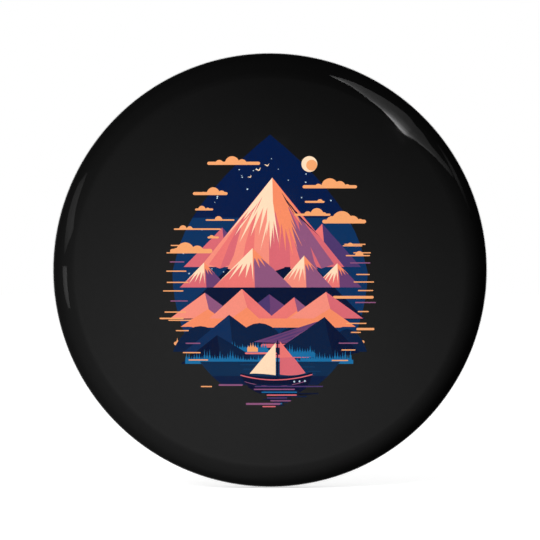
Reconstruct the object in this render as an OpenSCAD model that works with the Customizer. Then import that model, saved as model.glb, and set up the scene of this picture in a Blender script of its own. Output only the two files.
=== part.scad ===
// Pin-back button badge: a domed shell under a printed paper disc and a clear film, closed by a
// pressed back plate that carries a bar pin with a turning safety catch.
// Every part is drawn face up with z = 0 on the back rim, and worn() then stands the badge upright:
// the face looks towards -Y, the top of the picture is +Z, and the pin lies on the +Y side.

/* [Face] */
// Outside diameter of the finished badge
badge_d = 58; // [54:0.5:75]
// Radius of the shallow dome of the face
dome_r = 340; // [280:10:600]
// Radius of the shoulder between the dome and the side
shoulder_r = 3.3; // [2.8:0.1:4]
// Height of the straight side between the shoulder and the rolled rim
side_h = 0.2; // [0.1:0.05:1.5]

/* [Layers] */
// Thickness of the clear film
film_t = 0.075; // [0.05:0.005:0.09]
// Thickness of the printed paper
paper_t = 0.13; // [0.1:0.01:0.15]
// Thickness of the front shell's tinplate
shell_t = 0.28; // [0.22:0.01:0.3]
// Clearance between one layer and the next
layer_gap = 0.02; // [0.01:0.005:0.025]

/* [Rolled rim] */
// Radius of the curl from the side onto the back rim
curl_r = 1.2; // [1.15:0.05:1.5]
// Width of the flat ring that the badge lies on
rim_flat = 1; // [0.9:0.1:1.5]
// Radius of the roll that tucks the edge back inside
roll_r = 0.8; // [0.7:0.05:0.8]

/* [Back plate] */
// Thickness of the back plate
plate_t = 0.3; // [0.25:0.01:0.34]
// Depth of the back plate's floor below the back rim
floor_depth = 2.2; // [2:0.05:2.6]
// Distance from the tucked edge in to the start of the step down to the floor
step_inset = 1.4; // [0.8:0.1:2]
// Diameter of the stiffening bead pressed round the floor
bead_d = 37.4; // [37:0.1:39]
// Height of the stiffening bead
bead_h = 0.3; // [0.15:0.05:0.4]

/* [Pin bar] */
// Length of the bar
bar_l = 33; // [32:0.5:33.5]
// Width of the bar
bar_w = 4.6; // [4:0.1:6]
// Thickness of the bar
bar_t = 0.6; // [0.5:0.05:0.7]
// Distance between the two rivets that hold the bar
rivet_pitch = 14; // [12:0.5:16]
// Diameter of the rivets that hold the bar
rivet_d = 1.5; // [1.2:0.1:1.8]

/* [Stem and hinge] */
// Diameter of the pin's wire
stem_d = 0.9; // [0.7:0.05:1]
// Height of the wire's axis over the bar
stem_h = 1.8; // [1.8:0.05:2.1]
// Distance from the hinge to the bar's end
hinge_inset = 2.5; // [2.4:0.1:3]
// Diameter of the hinge rivet
hinge_d = 1; // [0.8:0.05:1.1]
// Radial clearance of the wire's eye and of the catch barrel
running_gap = 0.05; // [0.03:0.01:0.08]

/* [Catch] */
// Length of the catch housing along the bar
catch_l = 3; // [2.8:0.1:3.2]
// Diameter of the catch barrel
barrel_d = 2.8; // [2.7:0.05:2.8]
// Thickness of the housing's rolled wall
housing_t = 0.45; // [0.4:0.05:0.5]
// Angle of the housing's mouth
mouth_angle = 124; // [120:1:130]
// Width of the slot that the wire drops into
slot_w = 1.2; // [1.1:0.05:1.2]
// Reach of the thumb tab from the barrel's axis
tab_reach = 3.4; // [3:0.1:4]

/* [Hidden] */
$fn = 120;
dome_fn = 1440; // the dome is a small part of a very large circle
eps = 0.01;
crease = 0.003; // the dome lies this much below a true tangent, so that it always cuts the shoulder

// Outer surface of the badge, as radius and height over the back rim
badge_r = badge_d / 2;
curl_z = curl_r;
shoulder_z = curl_z + side_h;
dome_edge = asin((badge_r - shoulder_r) / (dome_r - shoulder_r)); // slope where dome meets shoulder
dome_z = shoulder_z - (dome_r - shoulder_r) * cos(dome_edge) - crease; // height of the dome's centre
flat_out_r = badge_r - curl_r;
flat_in_r = flat_out_r - rim_flat;
lip_r = flat_in_r - roll_r;
lip_z = roll_r + 0.3; // height that the film's edge is tucked up to
lip_stagger = 0.05; // each layer's edge stops this much short of the one outside it

// Depths of the layers below the outer surface
paper_depth = film_t + layer_gap;
shell_depth = paper_depth + paper_t + layer_gap;
stack_t = shell_depth + shell_t;

// Back plate
ring_z = lip_z + 0.05; // back face of the ring that presses on the tucked edge
flange_r = badge_r - stack_t - 0.255; // outside radius of the plate's turned-down flange
flange_bend = 0.62; // outside radius of the bend into the flange
flange_bend_z = ring_z + plate_t - flange_bend;
flange_z = 0.72; // height of the flange's cut edge
step_h = floor_depth - ring_z;
step_out_r = lip_r - step_inset;
step_in_r = step_out_r - step_h; // the two quarter bends are as wide as they are deep
bead_r = 0.9; // outside radius of the bead

// Pin bar, with heights measured along z and lengths along x
bar_z = floor_depth - bar_t; // face of the bar that the rivet heads sit on
stem_r = stem_d / 2;
stem_z = bar_z - stem_h;
hinge_x = -bar_l / 2 + hinge_inset;
ear_r = 1.3;
ear_t = 0.5;
ear_gap = 1; // clear width between the two ears
ear_flare = 0.4; // how much wider each side of an ear is at its root
eye_r = 1.2;
eye_t = 0.8;
neck_r = 0.52; // the wire's radius where it was flattened into the eye
neck_from = 0.9;
neck_to = 2.2;
taper_x = 11.6; // where the wire starts to taper
tip_x = 17.2;
tip_r = 0.05;
hinge_head_r = 0.85;
hinge_head_h = 0.35;

// Rivets of the bar
rivet_head_r = 1.4;
rivet_head_h = 0.42;
rivet_tail_r = 1.2;
rivet_tail_h = 0.35;

// Catch
barrel_r = barrel_d / 2;
catch_x = 12.7; // start of the housing along the bar
housing_in_r = barrel_r + running_gap;
housing_out_r = housing_in_r + housing_t;
housing_neck_w = 2.2;
barrel_play = 0.08; // end float of the barrel in its housing
flange_t = 0.3;
barrel_flange_r = stem_h - 0.08;
barrel_l = catch_l + 2 * (barrel_play + flange_t);
tab_angle = -46.5; // from the middle of the slot to the tab
tab_t = 0.56;
tab_w = 2.2;
tab_root = 1;

// Stands a badge that was drawn face up on its edge, as it is worn
module worn() rotate([90, 0, 0]) children();

// Draws along the bar from x = start: the child's x is towards the wearer, its y is up
module along_bar(start) translate([start, 0, stem_z]) rotate([0, 90, 0]) children();

// Draws across the bar at one place along it: the child's y is towards the face
module across_bar(place) translate([place, 0, stem_z]) rotate([90, 0, 0]) children();

// Sector of the plane between two angles less than 180 degrees apart
module sector(from, to, reach) {
    middle = (from + to) / 2;
    corner = reach / cos((to - from) / 2);
    polygon([
        [0, 0],
        reach * [cos(from), sin(from)],
        corner * [cos(middle), sin(middle)],
        reach * [cos(to), sin(to)]
    ]);
}

// Quarter turn of sheet about a centre, between two radii, from the angle start anticlockwise
module quarter_bend(centre, inner, outer, start) {
    translate(centre)
        intersection() {
            difference() {
                circle(outer);
                circle(inner);
            }
            rotate(start) square(outer + 1);
        }
}

// Outline of the face at one depth below its outer surface, from the top of the side up
module face_outline(depth) {
    bend_r = shoulder_r - depth;
    tangent_r = badge_r - shoulder_r + bend_r * sin(dome_edge);
    intersection() {
        translate([0, dome_z]) circle(dome_r - depth, $fn = dome_fn);
        union() {
            translate([0, shoulder_z]) square([tangent_r, 2 * shoulder_r]);
            quarter_bend([badge_r - shoulder_r, shoulder_z], 0, bend_r, 0);
        }
    }
}

// Section of one layer that follows the badge's outer surface between two depths below it
module layer_section(near, far, edge_z) {
    layer_t = far - near;
    difference() {
        face_outline(near);
        face_outline(far);
    }
    // side and curl
    translate([badge_r - far, curl_z]) square([layer_t, side_h]);
    quarter_bend([flat_out_r, curl_z], curl_r - far, curl_r - near, -90);
    // flat ring, roll and tucked edge
    translate([flat_in_r, near]) square([rim_flat, layer_t]);
    quarter_bend([flat_in_r, roll_r], roll_r - far, roll_r - near, 180);
    translate([lip_r + near, roll_r]) square([layer_t, edge_z - roll_r]);
}

module clear_film() {
    color("white", 0.3)
        worn()
            rotate_extrude() layer_section(0, film_t, lip_z);
}

module printed_disc() {
    color("midnightblue")
        worn()
            rotate_extrude() layer_section(paper_depth, paper_depth + paper_t, lip_z - lip_stagger);
}

module front_shell() {
    color("silver")
        worn()
            rotate_extrude() layer_section(shell_depth, stack_t, lip_z - 2 * lip_stagger);
}

// Flat stretch of the back plate between two radii, with its back face at height z
module plate_flat(from_r, to_r, z) translate([from_r, z]) square([to_r - from_r, plate_t]);

// Double bend from the ring down to the floor
module plate_step() {
    inner = (step_h - plate_t) / 2;
    outer = inner + plate_t;
    quarter_bend([step_out_r, ring_z + outer], inner, outer, 180);
    quarter_bend([step_in_r, floor_depth + plate_t - outer], inner, outer, 0);
}

// Bead pressed towards the wearer, as the half-circle that its punch leaves
module plate_bead() {
    centre = [bead_d / 2, floor_depth - bead_h + bead_r];
    difference() {
        union() {
            children();
            intersection() {
                translate(centre) circle(bead_r);
                translate([0, floor_depth - bead_h]) square([badge_r, bead_h + plate_t / 2]);
            }
        }
        translate(centre) circle(bead_r - plate_t);
    }
}

module plate_section() {
    plate_bead() plate_flat(0, step_in_r, floor_depth);
    plate_step();
    plate_flat(step_out_r, flange_r - flange_bend, ring_z);
    quarter_bend([flange_r - flange_bend, flange_bend_z], flange_bend - plate_t, flange_bend, 0);
    translate([flange_r - plate_t, flange_z]) square([plate_t, flange_bend_z - flange_z]);
}

// The two rivet holes, through the bar and the plate
module rivet_holes() {
    for (side = [-1, 1])
        translate([side * rivet_pitch / 2, 0, bar_z - 1]) cylinder(d = rivet_d, h = bar_t + plate_t + 2);
}

module back_plate() {
    color("gainsboro")
        worn()
            difference() {
                rotate_extrude() plate_section();
                rivet_holes();
            }
}

// Outline of one hinge ear, about the hinge rivet
module ear_outline() {
    root = stem_h + bar_t / 2;
    difference() {
        union() {
            circle(ear_r);
            polygon([[-ear_r, 0], [ear_r, 0], [ear_r + ear_flare, root], [-ear_r - ear_flare, root]]);
        }
        circle(d = hinge_d);
    }
}

// C-shaped catch housing on its neck, seen along the bar, with rounded lips at its mouth
module housing_outline() {
    lip_place = (housing_in_r + housing_out_r) / 2;
    lip_angle = mouth_angle / 2 + asin(housing_t / 2 / lip_place);
    difference() {
        union() {
            circle(housing_out_r);
            translate([-stem_h - bar_t / 2, -housing_neck_w / 2])
                square([stem_h + bar_t / 2, housing_neck_w]);
        }
        circle(housing_in_r);
        sector(-lip_angle, lip_angle, housing_out_r + 1);
    }
    for (side = [-1, 1])
        rotate(side * lip_angle) translate([lip_place, 0]) circle(d = housing_t);
}

module pin_bar() {
    color("lightsteelblue")
        worn()
            difference() {
                union() {
                    // strip with rounded ends
                    translate([0, 0, bar_z])
                        linear_extrude(bar_t) {
                            square([bar_l - bar_w, bar_w], center = true);
                            for (side = [-1, 1])
                                translate([side * (bar_l - bar_w) / 2, 0]) circle(d = bar_w);
                        }
                    // hinge ears
                    for (side = [-1, 1])
                        across_bar(hinge_x)
                            translate([0, 0, side * (ear_gap + ear_t) / 2])
                                linear_extrude(ear_t, center = true) ear_outline();
                    // catch housing
                    along_bar(catch_x) linear_extrude(catch_l) housing_outline();
                }
                rivet_holes();
            }
}

// Shallow domed head that stands on z = 0
module rivet_head(r, h) {
    cap_r = (r * r + h * h) / (2 * h);
    rotate_extrude()
        intersection() {
            translate([0, h - cap_r]) circle(cap_r);
            square([r + eps, h]);
        }
}

// Rivet through the bar and the back plate
module bar_rivet() {
    translate([0, 0, bar_z]) cylinder(d = rivet_d, h = bar_t + plate_t);
    translate([0, 0, bar_z]) rotate([180, 0, 0]) rivet_head(rivet_head_r, rivet_head_h);
    translate([0, 0, bar_z + bar_t + plate_t]) rivet_head(rivet_tail_r, rivet_tail_h);
}

module bar_rivet_left() {
    color("darkgray")
        worn()
            translate([-rivet_pitch / 2, 0, 0]) bar_rivet();
}

module bar_rivet_right() {
    color("darkgray")
        worn()
            translate([rivet_pitch / 2, 0, 0]) bar_rivet();
}

module hinge_rivet() {
    half_l = ear_gap / 2 + ear_t;
    color("darkgray")
        worn()
            across_bar(hinge_x) {
                cylinder(d = hinge_d, h = 2 * half_l, center = true);
                for (turn = [0, 180])
                    rotate([turn, 0, 0]) translate([0, 0, half_l]) rivet_head(hinge_head_r, hinge_head_h);
            }
}

module pin_stem() {
    color("whitesmoke")
        worn()
            difference() {
                union() {
                    across_bar(hinge_x) cylinder(r = eye_r, h = eye_t, center = true);
                    along_bar(hinge_x + neck_from)
                        cylinder(r1 = neck_r, r2 = stem_r, h = neck_to - neck_from);
                    along_bar(hinge_x + neck_to) cylinder(r = stem_r, h = taper_x - hinge_x - neck_to);
                    along_bar(taper_x) cylinder(r1 = stem_r, r2 = tip_r, h = tip_x - taper_x);
                }
                across_bar(hinge_x) cylinder(d = hinge_d + 2 * running_gap, h = eye_t + 1, center = true);
            }
}

// Thumb tab with a round end, standing out from the barrel's axis
module thumb_tab() {
    round_r = tab_w / 2;
    rotate([0, 0, tab_angle])
        translate([0, 0, barrel_l / 2])
            rotate([90, 0, 0])
                linear_extrude(tab_t, center = true) {
                    translate([tab_root, -round_r]) square([tab_reach - round_r - tab_root, tab_w]);
                    translate([tab_reach - round_r, 0]) circle(round_r);
                }
}

module catch_barrel() {
    color("silver")
        worn()
            along_bar(catch_x - barrel_play - flange_t)
                difference() {
                    union() {
                        cylinder(r = barrel_r, h = barrel_l);
                        for (end = [0, barrel_l - flange_t])
                            translate([0, 0, end]) cylinder(r = barrel_flange_r, h = flange_t);
                        thumb_tab();
                    }
                    // slot with a round bottom, open towards the wearer
                    translate([0, 0, -1]) cylinder(d = slot_w, h = barrel_l + 2);
                    translate([0, -slot_w / 2, -1]) cube([tab_reach, slot_w, barrel_l + 2]);
                }
}

clear_film();
printed_disc();
front_shell();
back_plate();
pin_bar();
bar_rivet_left();
bar_rivet_right();
hinge_rivet();
pin_stem();
catch_barrel();
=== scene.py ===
"""Looks of the pin-back button badge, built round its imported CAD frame.

Everything is in metres in the CAD's frame: the face looks towards -Y, the top of the picture is +Z
and the pin lies on the +Y side. Sections and the artwork are drawn in millimetres.
"""

import random
from math import acos, asin, atan, cos, degrees, hypot, pi, radians, sin, sqrt, tan, tau

import bmesh
import bpy
from mathutils import Matrix, Vector
from mathutils.geometry import delaunay_2d_cdt


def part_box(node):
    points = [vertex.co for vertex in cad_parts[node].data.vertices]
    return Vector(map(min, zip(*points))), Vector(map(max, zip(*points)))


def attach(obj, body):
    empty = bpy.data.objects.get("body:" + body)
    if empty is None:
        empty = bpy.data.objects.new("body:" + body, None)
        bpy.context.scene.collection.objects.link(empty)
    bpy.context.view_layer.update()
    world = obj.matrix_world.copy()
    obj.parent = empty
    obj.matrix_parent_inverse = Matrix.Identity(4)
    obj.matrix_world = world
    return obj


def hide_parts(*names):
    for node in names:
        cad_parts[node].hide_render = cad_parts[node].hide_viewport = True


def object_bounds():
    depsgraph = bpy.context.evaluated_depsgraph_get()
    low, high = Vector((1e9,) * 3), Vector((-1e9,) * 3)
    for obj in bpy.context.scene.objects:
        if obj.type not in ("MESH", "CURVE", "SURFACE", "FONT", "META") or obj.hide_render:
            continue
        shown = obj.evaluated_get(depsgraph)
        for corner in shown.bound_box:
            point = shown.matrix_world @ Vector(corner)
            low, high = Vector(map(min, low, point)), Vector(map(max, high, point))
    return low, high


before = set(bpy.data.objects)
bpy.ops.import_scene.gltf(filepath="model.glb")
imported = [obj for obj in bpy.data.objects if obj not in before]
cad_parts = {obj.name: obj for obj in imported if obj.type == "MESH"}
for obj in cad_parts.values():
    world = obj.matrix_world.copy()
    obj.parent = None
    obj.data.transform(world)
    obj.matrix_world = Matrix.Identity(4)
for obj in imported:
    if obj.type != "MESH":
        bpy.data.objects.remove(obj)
cad_low, cad_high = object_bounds()

MM = 0.001

# Section of the badge in millimetres, as the CAD draws it but for the shoulder, which is a plain
# arc there and a quarter of an ellipse here
BADGE_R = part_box("clear_film")[1].x / MM
DOME_R = 340.0
SHOULDER_H = 3.3
SHOULDER_W = 3.8
SIDE_H = 0.2
CURL_R = 1.2
RIM_FLAT = 1.0
ROLL_R = 0.8
LIP_H = 1.1
LIP_STAGGER = 0.05
FILM_T = 0.075
PAPER_T = 0.13
SHELL_T = 0.28
LAYER_GAP = 0.02

FLAT_OUT_R = BADGE_R - CURL_R
FLAT_IN_R = FLAT_OUT_R - RIM_FLAT
LIP_R = FLAT_IN_R - ROLL_R
SHOULDER_AT = (BADGE_R - SHOULDER_W, CURL_R + SIDE_H)
SHOULDER_TOP = SHOULDER_AT[1] + SHOULDER_H
# Slope at which the dome turns into the shoulder, and the angle of the shoulder's ellipse there
DOME_EDGE = asin(SHOULDER_AT[0] / (DOME_R - SHOULDER_W**2 / SHOULDER_H))
BEND_START = atan(SHOULDER_W / SHOULDER_H * tan(DOME_EDGE))
DOME_TOP_H = SHOULDER_AT[1] + SHOULDER_H * cos(BEND_START)
DOME_AT = (0.0, DOME_TOP_H - DOME_R * cos(DOME_EDGE))
PAPER_DEPTH = FILM_T + LAYER_GAP
SHELL_DEPTH = PAPER_DEPTH + PAPER_T + LAYER_GAP

RIM_STEPS = 768  # facets round the badge
PLEATS = 96
PLEAT_DEPTH = 0.055
ART_R = 21.0  # printed circle that is cut along the picture's outlines
ART_GRID = 1.6


# Mesh helpers


def add_object(name, data):
    obj = bpy.data.objects.new(name, data)
    bpy.context.scene.collection.objects.link(obj)
    return obj


def mesh_object(name, bm):
    """Turns a bmesh into an object of that name, with its normals facing out."""
    bmesh.ops.recalc_face_normals(bm, faces=bm.faces)
    mesh = bpy.data.meshes.new(name)
    bm.to_mesh(mesh)
    bm.free()
    return add_object(name, mesh)


def shade_smooth(mesh, sharp_angle=radians(32)):
    """Smooth faces, with the edges that bend more than sharp_angle kept sharp."""
    mesh.polygons.foreach_set("use_smooth", [True] * len(mesh.polygons))
    mesh.set_sharp_from_angle(angle=sharp_angle)


def arc(centre, radius, start, end, steps, height=None):
    """Points on an arc, both ends included, with angles in radians from the first axis. A height
    makes it part of an ellipse."""
    turn = (end - start) / steps
    height = height or radius
    return [
        (
            centre[0] + radius * cos(start + i * turn),
            centre[1] + height * sin(start + i * turn),
        )
        for i in range(steps + 1)
    ]


def worn(radius, angle, height):
    """A point of the badge in metres, from its radius, its angle round the face and its height."""
    return Vector((radius * cos(angle), -height, radius * sin(angle))) * MM


# Artwork

picture = []


def paint(ink, outline):
    """Adds one shape on top of the picture so far."""
    picture.append((ink, outline))


def disc(ink, x, z, radius, corners=22):
    paint(ink, arc((x, z), radius, 0, tau, corners)[:-1])


def dash(ink, x, z, length, thick=0.2):
    """Level stroke with round ends."""
    half = thick / 2
    right = arc((x + length / 2 - half, z), half, -pi / 2, pi / 2, 5)
    left = arc((x - length / 2 + half, z), half, pi / 2, 3 * pi / 2, 5)
    paint(ink, right + left)


def puff(ink, x, z, radius):
    """Round top of a cloud, cut off level at z."""
    sink = radians(12)
    paint(ink, arc((x, z + radius * sin(sink)), radius, -sink, pi + sink, 18))


def cloud(x, z, length, base, puffs):
    """Cloud on a long flat base. Each puff is its place along the base and its radius."""
    dash("peach", x, z, length, base)
    for offset, radius in puffs:
        puff("peach", x + offset, z - base / 2, radius)


def peak(apex, left, right, lit, shade, lean=0.0):
    """Peak with a lit left face and a shaded right face."""
    foot = (apex[0] + lean, min(left[1], right[1]))
    middle = (apex[0] + 0.35 * lean + 0.12, (apex[1] + foot[1]) / 2)
    paint(lit, [apex, left, foot, middle])
    paint(shade, [apex, middle, foot, right])


def between(a, b, share):
    return (a[0] + (b[0] - a[0]) * share, a[1] + (b[1] - a[1]) * share)


def fan(ink, apex, left, right, teeth, near, far, draw):
    """Shape that hangs from an apex and breaks into teeth between near and far of the way down."""
    outline = [apex]
    for i in range(2 * teeth + 1):
        base = between(left, right, i / (2 * teeth))
        reach = near if i % 2 else far
        outline.append(between(apex, base, reach * draw.uniform(0.9, 1.08)))
    paint(ink, outline)


def shard(ink, root, tip, width):
    """Thin blade of colour from its root to its tip."""
    dx, dz = tip[0] - root[0], tip[1] - root[1]
    length = hypot(dx, dz)
    across = (-dz / length * width / 2, dx / length * width / 2)
    x, z = between(root, tip, 0.35)
    near, far = (x - across[0], z - across[1]), (x + across[0], z + across[1])
    paint(ink, [root, near, tip, far])


def pines(ink, x_from, x_to, z, height, draw, pitch=0.34):
    """Row of spiky trees that grow out of a level base at z."""
    outline = [(x_to, z - 0.5), (x_from, z - 0.5), (x_from, z)]
    x = x_from
    while x < x_to - pitch:
        tall = height * draw.uniform(0.35, 1.0)
        waist = tall * 0.45
        crook = waist * 0.9
        tree = ((0.2, waist), (0.32, crook), (0.5, tall), (0.68, crook), (0.8, waist))
        outline += [(x + along * pitch, z + up) for along, up in tree]
        x += pitch
        outline.append((x, z + 0.08))
    outline.append((x_to, z))
    paint(ink, outline)


def egg(z):
    """Half the width of the night patch at one height."""
    if z > 0:
        return 12.6 * (1 - (z / 17.9) ** 1.75)
    return 12.9 * sqrt(max(0.0, 1 - (z / 17.4) ** 2))


def egg_band(ink, top, bottom, steps):
    """The night patch between two heights."""
    heights = [top + (bottom - top) * i / steps for i in range(steps + 1)]
    right = [(egg(z), z) for z in heights if egg(z) > 1e-6]
    left = [(-x, z) for x, z in reversed(right)]
    tip = [(0.0, top)] if egg(top) < 1e-6 else []
    paint(ink, right + left + tip)


def draw_sky(draw):
    egg_band("night", 17.9, 6.9, 6)
    egg_band("dusk", 6.9, -14.6, 12)
    paint("midnight", [(0.4, 6.0), (-12.6, -6.5), (12.6, -6.5)])
    for _ in range(52):
        z = draw.uniform(-2.6, 15.6)
        x = draw.uniform(-1, 1) * egg(z) * 0.94
        size = draw.uniform(0.06, 0.13)
        paint("star", [(x + size, z), (x, z + size), (x - size, z), (x, z - size)])
    disc("snow", 5.2, 14.0, 1.05)
    disc("peach", 5.5, 13.85, 0.72)


def spur(x, z, foot, half, lean, lit, shade):
    """Ridge that runs down from the peak: a lit and a shaded face that meet in a crest."""
    top, base = (x, z), (x + lean, foot)
    crook = between(top, base, 0.55)
    crook = (crook[0] - 0.25, crook[1])
    paint(lit, [top, crook, base, (base[0] - half, foot + 0.35 * half)])
    paint(shade, [top, (base[0] + half, foot + 0.35 * half), base, crook])


def draw_peak(draw):
    """One snow-capped mountain, with lower shoulders, rock ridges and jagged snow."""
    peak((-6.3, 5.6), (-11.4, 0.4), (-1.5, 0.4), "rose", "plum", 0.5)
    peak((6.9, 6.1), (1.6, 0.4), (12.0, 0.4), "coral", "violet", 0.4)
    apex, left, right = (0.3, 12.2), (-9.2, 0.4), (9.8, 0.4)
    peak(apex, left, right, "salmon", "rose", 0.7)
    # lit and shaded ridges below the snow
    for x, z, foot, half, lean, lit, shade in (
        (-3.4, 7.2, 0.2, 1.5, -3.2, "coral", "rose"),
        (-1.9, 8.1, -0.4, 1.7, -2.0, "salmon", "coral"),
        (3.6, 7.6, 0.2, 1.6, 3.2, "rose", "mauve"),
        (2.4, 8.4, -0.5, 1.8, 2.1, "coral", "mauve"),
        (0.4, 8.6, -0.4, 2.0, -0.5, "salmon", "rose"),
    ):
        spur(x, z, foot, half, lean, lit, shade)
    fan("orange", (1.4, 9.6), (1.2, 1.2), (5.2, 1.0), 4, 0.45, 0.85, draw)
    fan("mauve", (3.6, 7.4), (4.6, 0.9), (8.6, 0.6), 3, 0.5, 0.95, draw)
    # snow cap, cream where the light falls and warmer beyond the crest
    fan("orange", apex, (0.4, 2.2), (7.9, 2.4), 5, 0.42, 0.72, draw)
    fan("snow", apex, (-7.6, 2.2), (0.6, 1.6), 6, 0.4, 0.78, draw)
    fan("snow", (0.3, 9.6), (-1.6, 1.2), (1.5, 1.2), 2, 0.35, 0.8, draw)
    for i in range(4):
        shard("midnight", (1.5 + 0.5 * i, 10.3 - 0.8 * i), (3.4 + 1.1 * i, 7.0 - 0.9 * i), 0.17)
    for i in range(4):
        shard("coral", (-1.0 - 0.5 * i, 9.7 - 0.7 * i), (-2.3 - 1.0 * i, 7.0 - 0.8 * i), 0.15)
    # low ridges in front, with snow gullies
    for x, z, half, lit, shade in (
        (-8.7, 1.0, 3.2, "rose", "plum"),
        (8.9, 0.9, 3.2, "coral", "plum"),
        (4.5, 1.9, 3.7, "salmon", "mauve"),
        (-2.3, 2.9, 5.2, "coral", "mauve"),
    ):
        foot = -2.3
        peak((x, z), (x - half, foot), (x + half, foot), lit, shade, 0.3)
        fan("snow", (x, z), (x - half, foot), (x + 0.1, foot), 4, 0.4, 0.82, draw)
        fan("orange", (x, z), (x + 0.2, foot), (x + half, foot), 3, 0.25, 0.5, draw)


def draw_foothills(draw):
    peak((-0.1, -3.2), (-4.3, -6.4), (4.3, -6.4), "violet", "plum")
    for x, z, half, lit, shade, lean in (
        (-8.6, -3.0, 4.6, "salmon", "mauve", 0.8),
        (-3.7, -2.5, 4.3, "salmon", "coral", 1.2),
        (3.2, -3.6, 3.4, "coral", "mauve", 0.6),
        (7.4, -2.9, 4.9, "salmon", "rose", 0.9),
    ):
        floor = -6.9
        peak((x, z), (x - half, floor + 0.5), (x + half, floor + 0.5), lit, shade, lean)
        glow = between((x, z), (x + lean, floor), 0.55)
        paint("orange", [glow, (x - 0.7 * half, floor - 0.6), (x + 0.8 * half, floor - 0.6)])
    dash("orange", -0.4, -7.0, 20.6, 1.2)


def hump(ink, x, z, half, floor):
    """Rounded hill."""
    angles = [pi * i / 16 for i in range(17)]
    crown = [(x + half * cos(a), floor + (z - floor) * sin(a) ** 1.6) for a in angles]
    paint(ink, crown)


def draw_dark_hills(draw):
    for x, z, half in ((-9.2, -7.4, 3.6), (-1.4, -7.0, 4.0), (2.9, -7.6, 3.0), (10.2, -7.8, 2.6)):
        hump("hill", x, z, half, -10.8)
    peak((-5.4, -5.9), (-11.6, -11.0), (0.9, -10.6), "slate", "hill", 0.5)
    paint("plum", [(-2.2, -9.5), (6.9, -6.6), (5.4, -9.8)])
    for i in range(5):
        shard("violet", (-1.2 + 1.2 * i, -9.5), (5.2 + 0.3 * i, -7.3 - 0.35 * i), 0.2)
    dash("rose", 1.3, -10.0, 5.0, 0.5)
    pines("pine", -7.2, -0.2, -10.4, 1.1, draw)
    pines("peach", -3.0, -1.6, -10.3, 0.8, draw, 0.3)
    peak((7.2, -6.2), (-0.6, -11.6), (11.8, -10.9), "hill", "midnight", 1.2)
    shard("mauve", (2.4, -9.4), (5.4, -7.5), 0.07)
    peak((-7.0, -8.6), (-11.8, -12.4), (-0.6, -12.4), "midnight", "hill", 0.6)
    dash("coral", -1.2, -11.0, 4.2, 0.22)
    dash("rose", 2.6, -11.4, 5.6, 0.4)
    pines("pine", 1.4, 6.0, -11.0, 1.3, draw)
    pines("pine", -11.2, -4.0, -11.9, 1.5, draw)
    pines("pine", -4.4, 4.0, -12.0, 0.9, draw)
    pines("pine", 4.0, 11.0, -11.9, 1.7, draw)


def draw_lake(draw):
    egg_band("water", -12.1, -15.0, 4)
    for i in range(9):
        z = -12.5 - 0.3 * i
        half = egg(z)
        x = draw.uniform(-0.5, 0.5) * half
        dash("shoal", x, z, half * draw.uniform(0.5, 1.0), 0.14)
    egg_band("deep", -14.0, -15.2, 2)


def curve(a, b, c, steps=12):
    """Points on the quadratic curve from a to c that b pulls on."""
    points = []
    for i in range(steps + 1):
        t = i / steps
        points.append(between(between(a, b, t), between(b, c, t), t))
    return points


def stroke(ink, points, width):
    """Line of one width along a row of points."""
    left, right = [], []
    for i, p in enumerate(points):
        a, b = points[max(i - 1, 0)], points[min(i + 1, len(points) - 1)]
        dx, dz = b[0] - a[0], b[1] - a[1]
        length = hypot(dx, dz)
        nx, nz = -dz / length * width / 2, dx / length * width / 2
        left.append((p[0] + nx, p[1] + nz))
        right.append((p[0] - nx, p[1] - nz))
    paint(ink, left + right[::-1])


def draw_boat():
    """Plain sailing boat: a low dark hull with a rose trim line and two sails."""
    bow, stern = (-3.9, -13.6), (5.6, -13.5)
    sheer = curve(bow, (0.8, -14.9), stern, 14)
    keel = curve(stern, (5.2, -16.3), (2.9, -16.3), 7) + curve((-1.4, -16.3), (-3.4, -15.6), bow, 7)
    stroke("hull", [(1.0, -14.2), (1.0, -9.3)], 0.16)
    paint("snow", [(0.75, -9.6)] + curve((0.75, -13.9), (-1.6, -13.6), (-2.7, -13.7), 6))
    paint("coral", [(1.3, -9.4)] + curve((4.7, -13.6), (3.2, -14.1), (1.3, -13.8), 8))
    paint("rose", [(1.3, -11.6), (3.1, -11.5), (4.7, -13.6), (3.2, -13.85), (1.3, -13.8)])
    paint("hull", sheer + keel)
    stroke("rose", [(x, z - 0.3) for x, z in sheer], 0.14)
    stroke("mauve", [(0.86 * x, z - 1.15) for x, z in sheer], 0.08)
    for x in (3.2, 3.9, 4.6):
        disc("star", x, -14.75 + 0.06 * (x - 3.2), 0.12, 8)


def draw_water_marks(draw):
    for i in range(16):
        z = -15.2 - 0.19 * i
        half = 6.8 - 0.33 * i
        x = 1.4 + draw.uniform(-1, 1) * 1.6
        ink = ("deep", "violet", "midnight", "mauve", "deep", "pine", "midnight", "rose")[i % 8]
        dash(ink, x, z, half * draw.uniform(0.7, 1.5), 0.16)
    dash("peach", -8.4, -15.4, 1.5, 0.16)
    dash("mauve", -5.2, -15.2, 3.2, 0.22)
    dash("mauve", -0.9, -17.7, 4.6, 0.26)


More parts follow.
